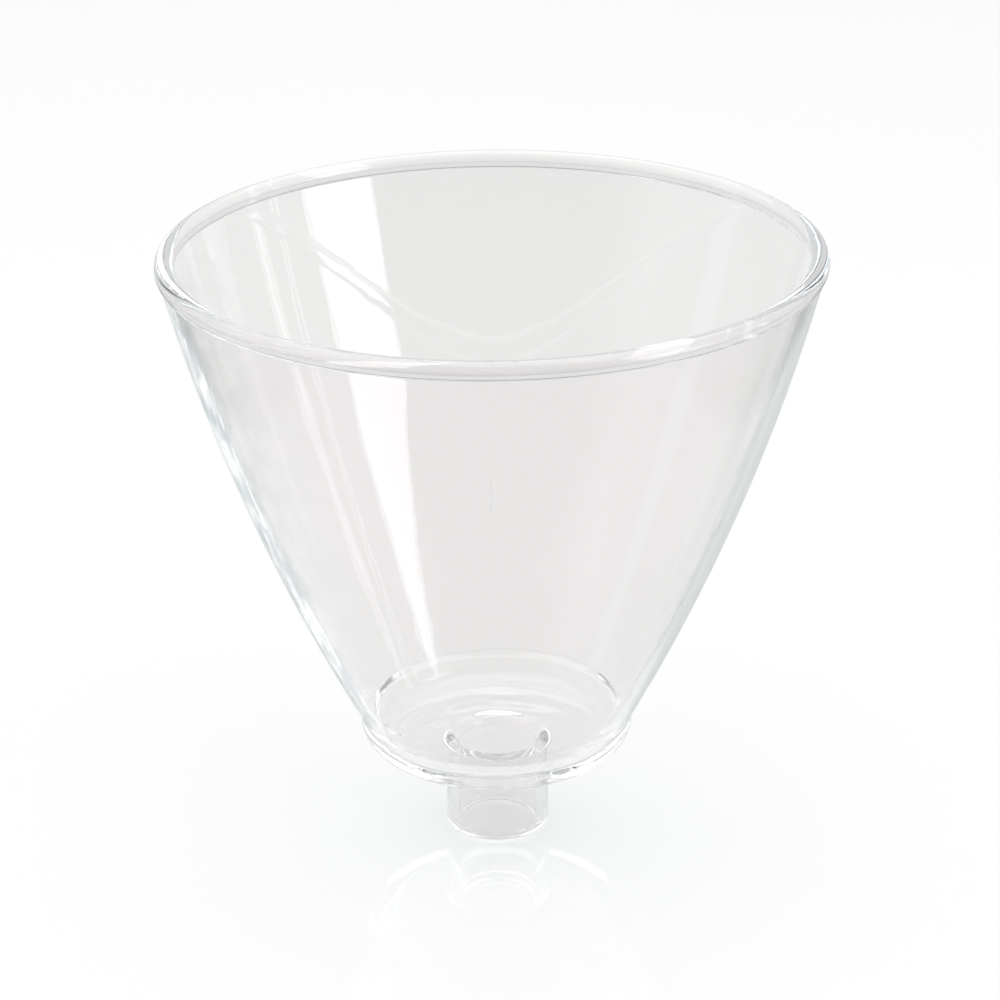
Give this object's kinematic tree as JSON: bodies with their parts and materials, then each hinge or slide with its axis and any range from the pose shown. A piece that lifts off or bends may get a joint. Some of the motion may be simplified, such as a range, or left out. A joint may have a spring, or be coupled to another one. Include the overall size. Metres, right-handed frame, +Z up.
{
  "type": "pour over dripper",
  "caption": "Clear glass pour over dripper: bowed conical bowl with a beaded rim, rounded heel and floor, and a short straight drain tube.",
  "frame": {"origin": "centre of the drain tube's lower end, on the bowl's axis", "axes": "+Z up the bowl's axis, from the drain tube's end to the rim; the object is round, so X and Y are equivalent"},
  "size_m": [0.132, 0.132, 0.126],
  "materials": {
    "borosilicate_glass": "clear, flame-polished gloss"
  },
  "bodies": {
    "root": {"rim_bead": "borosilicate_glass", "bowl_wall": "borosilicate_glass", "heel": "borosilicate_glass", "floor_disc": "borosilicate_glass", "drain_seal": "borosilicate_glass", "drain_tube": "borosilicate_glass", "tube_end_ring": "borosilicate_glass"}
  },
  "joints": []
}
